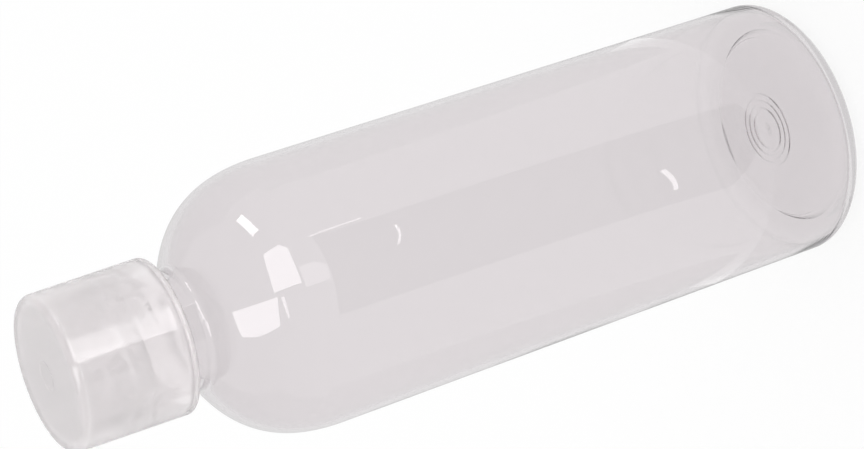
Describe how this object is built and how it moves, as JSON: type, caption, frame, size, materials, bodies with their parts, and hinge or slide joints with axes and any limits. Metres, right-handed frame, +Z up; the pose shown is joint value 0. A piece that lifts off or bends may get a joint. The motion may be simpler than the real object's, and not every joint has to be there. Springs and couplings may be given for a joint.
{
  "type": "screw-cap bottle",
  "caption": "Clear round bottle with a long straight wall, domed shoulder and short threaded neck, closed by a smooth screw cap with a sealing disc.",
  "frame": {"origin": "middle of the standing ring, on the surface that the bottle stands on", "axes": "+Z up along the bottle's axis, from the base to the cap; X and Y are any two directions square to it, with the parting lines of the mould on the YZ plane"},
  "size_m": [0.04, 0.04, 0.1276],
  "materials": {
    "clear_plastic": "clear, high gloss",
    "milky_plastic": "clear, slightly milky, gloss",
    "liner_foam": "natural, soft, satin"
  },
  "bodies": {
    "bottle": {"bottle": "clear_plastic"},
    "liner": {"cap_liner": "liner_foam"},
    "cap": {"cap": "milky_plastic"}
  },
  "joints": [
    {"name": "cap_lift", "type": "slide", "parent": "bottle", "child": "liner", "axis": [0, 0, 1], "range_m": [0, 0.01905]},
    {"name": "cap_turn", "type": "hinge", "parent": "liner", "child": "cap", "pos_m": [0, 0, 0.1276], "axis": [0, 0, 1], "range_deg": [0, 2160]}
  ],
  "couplings": [
    {"joint": "cap_lift", "follows": "cap_turn", "m_per_rad": 0.00050532}
  ]
}
